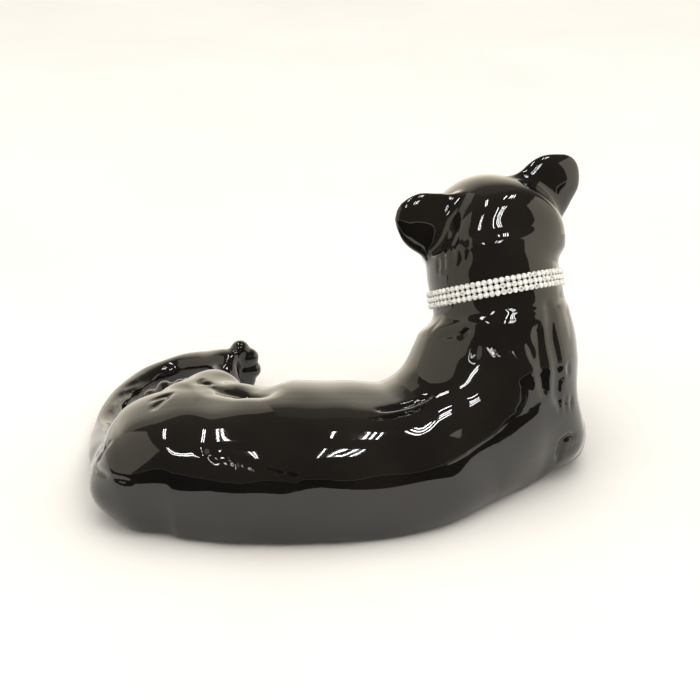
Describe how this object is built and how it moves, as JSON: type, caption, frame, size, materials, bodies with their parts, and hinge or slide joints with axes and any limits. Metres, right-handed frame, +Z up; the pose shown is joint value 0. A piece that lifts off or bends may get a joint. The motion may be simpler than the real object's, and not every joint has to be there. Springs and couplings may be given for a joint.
{
  "type": "ceramic panther figurine",
  "caption": "Reclining black glazed ceramic panther figurine, body curled on its side, head raised, with a crystal collar.",
  "frame": {"origin": "centre of the bounding box on the table plane, under the body", "axes": "+Z up; +X along the body from the rump to the chest, the longest extent; +Y the way the cat looks, away from its back"},
  "size_m": [0.4128, 0.3184, 0.2473],
  "materials": {
    "black_glaze": "high gloss black glaze over slip-cast earthenware",
    "crystal": "faceted clear crystal with a foiled back",
    "silver_plate": "bright silver plate",
    "felt": "pressed felt"
  },
  "bodies": {
    "root": {"torso_casting": "black_glaze", "head_casting": "black_glaze", "left_ear": "black_glaze", "right_ear": "black_glaze", "tail": "black_glaze", "left_foreleg": "black_glaze", "right_foreleg": "black_glaze", "left_hind_leg": "black_glaze", "right_hind_foot": "black_glaze", "felt_pads": "felt"},
    "collar": {"upper_stones": "crystal", "middle_stones": "crystal", "lower_stones": "crystal", "upper_cups": "silver_plate", "middle_cups": "silver_plate", "lower_cups": "silver_plate", "link_wires": "silver_plate", "left_end_bar": "silver_plate", "right_end_bar": "silver_plate", "catch_loop": "silver_plate", "clasp_frame": "silver_plate", "clasp_pin": "silver_plate"},
    "clasp_lid": {"clasp_cover": "silver_plate"}
  },
  "joints": [
    {"name": "collar_turn", "type": "hinge", "parent": "root", "child": "collar", "pos_m": [0.12631, 0.00081, 0.148], "axis": [-0.1789, 0.3938, 0.9016], "continuous": true},
    {"name": "clasp_open", "type": "hinge", "parent": "collar", "child": "clasp_lid", "pos_m": [0.11381, 0.0491, 0.12442], "axis": [0.1789, -0.3938, -0.9016], "range_deg": [0, 110]}
  ]
}
